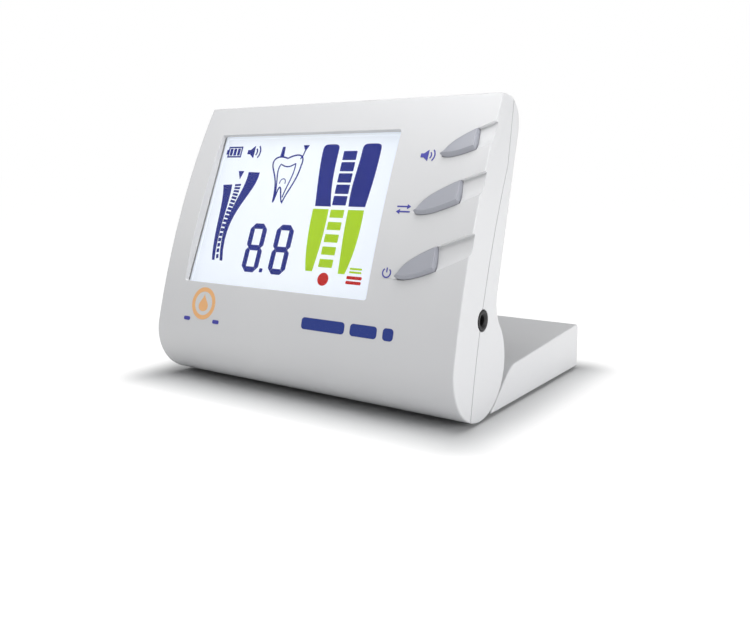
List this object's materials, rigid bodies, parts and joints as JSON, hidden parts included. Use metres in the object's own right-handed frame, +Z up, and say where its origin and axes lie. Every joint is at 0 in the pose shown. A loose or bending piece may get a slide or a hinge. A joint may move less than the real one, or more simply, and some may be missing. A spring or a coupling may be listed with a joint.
{
  "type": "apex locator",
  "caption": "Tabletop dental apex locator: a wide LCD housing with fin-shaped keys and a probe socket, folding down on a wedge-shaped battery base.",
  "frame": {"origin": "under the middle of the object, on the table that its feet stand on", "axes": "+X to the user's right along the hinge, +Y from the user to the back, +Z up; the screen faces -Y"},
  "size_m": [0.1302, 0.1042, 0.105],
  "materials": {
    "white_plastic": "satin",
    "key_plastic": "satin",
    "window": "clear",
    "lcd": "lit panel",
    "milk_plastic": "translucent",
    "black_plastic": "satin",
    "circuit_board": "lacquered",
    "rubber": "matte",
    "cell_wrap": "shrink wrap",
    "steel": "plated",
    "brass": "turned"
  },
  "bodies": {
    "base": {"base_top_cover": "white_plastic", "base_bottom_cover": "white_plastic", "battery_door": "white_plastic", "door_screw": "steel", "contact_plate_left": "steel", "contact_plate_right": "steel", "battery_cell_1": "cell_wrap", "battery_cell_2": "cell_wrap", "battery_cell_3": "cell_wrap", "battery_spring_1": "steel", "battery_spring_2": "steel", "battery_spring_3": "steel", "base_screw_1": "steel", "base_screw_2": "steel", "base_screw_3": "steel", "base_screw_4": "steel", "foot_1": "rubber", "foot_2": "rubber", "foot_3": "rubber", "foot_4": "rubber", "hinge_bush_left": "brass", "hinge_bush_right": "brass"},
    "screen": {"front_cover": "white_plastic", "rear_cover": "white_plastic", "screen_window": "window", "lcd_panel": "lcd", "lcd_backlight": "milk_plastic", "lcd_connector": "rubber", "lcd_holder": "milk_plastic", "main_board": "circuit_board", "main_chip": "black_plastic", "buzzer": "black_plastic", "volume_switch": "black_plastic", "mode_switch": "black_plastic", "power_switch": "black_plastic", "probe_socket": "black_plastic", "bumper_left": "rubber", "bumper_right": "rubber", "cover_screw_1": "steel", "cover_screw_2": "steel", "cover_screw_3": "steel", "cover_screw_4": "steel", "hinge_bolt_left": "steel", "hinge_bolt_right": "steel", "hinge_spring_left": "steel", "hinge_spring_right": "steel", "hinge_nut_left": "steel", "hinge_nut_right": "steel"},
    "volume_key": {"volume_key": "key_plastic"},
    "mode_key": {"mode_key": "key_plastic"},
    "power_key": {"power_key": "key_plastic"}
  },
  "joints": [
    {"name": "screen_fold", "type": "hinge", "parent": "base", "child": "screen", "pos_m": [0, -0.0344, 0.0186], "axis": [-1, 0, 0], "range_deg": [0, 70]},
    {"name": "volume_press", "type": "slide", "parent": "screen", "child": "volume_key", "axis": [0, 0.8996, -0.4368], "range_m": [0, 0.0008], "stiffness_N_per_m": 1000, "springref_m": -0.0005},
    {"name": "mode_press", "type": "slide", "parent": "screen", "child": "mode_key", "axis": [0, 0.9265, -0.3762], "range_m": [0, 0.0008], "stiffness_N_per_m": 1000, "springref_m": -0.0005},
    {"name": "power_press", "type": "slide", "parent": "screen", "child": "power_key", "axis": [0, 0.9511, -0.309], "range_m": [0, 0.0008], "stiffness_N_per_m": 1000, "springref_m": -0.0005}
  ]
}
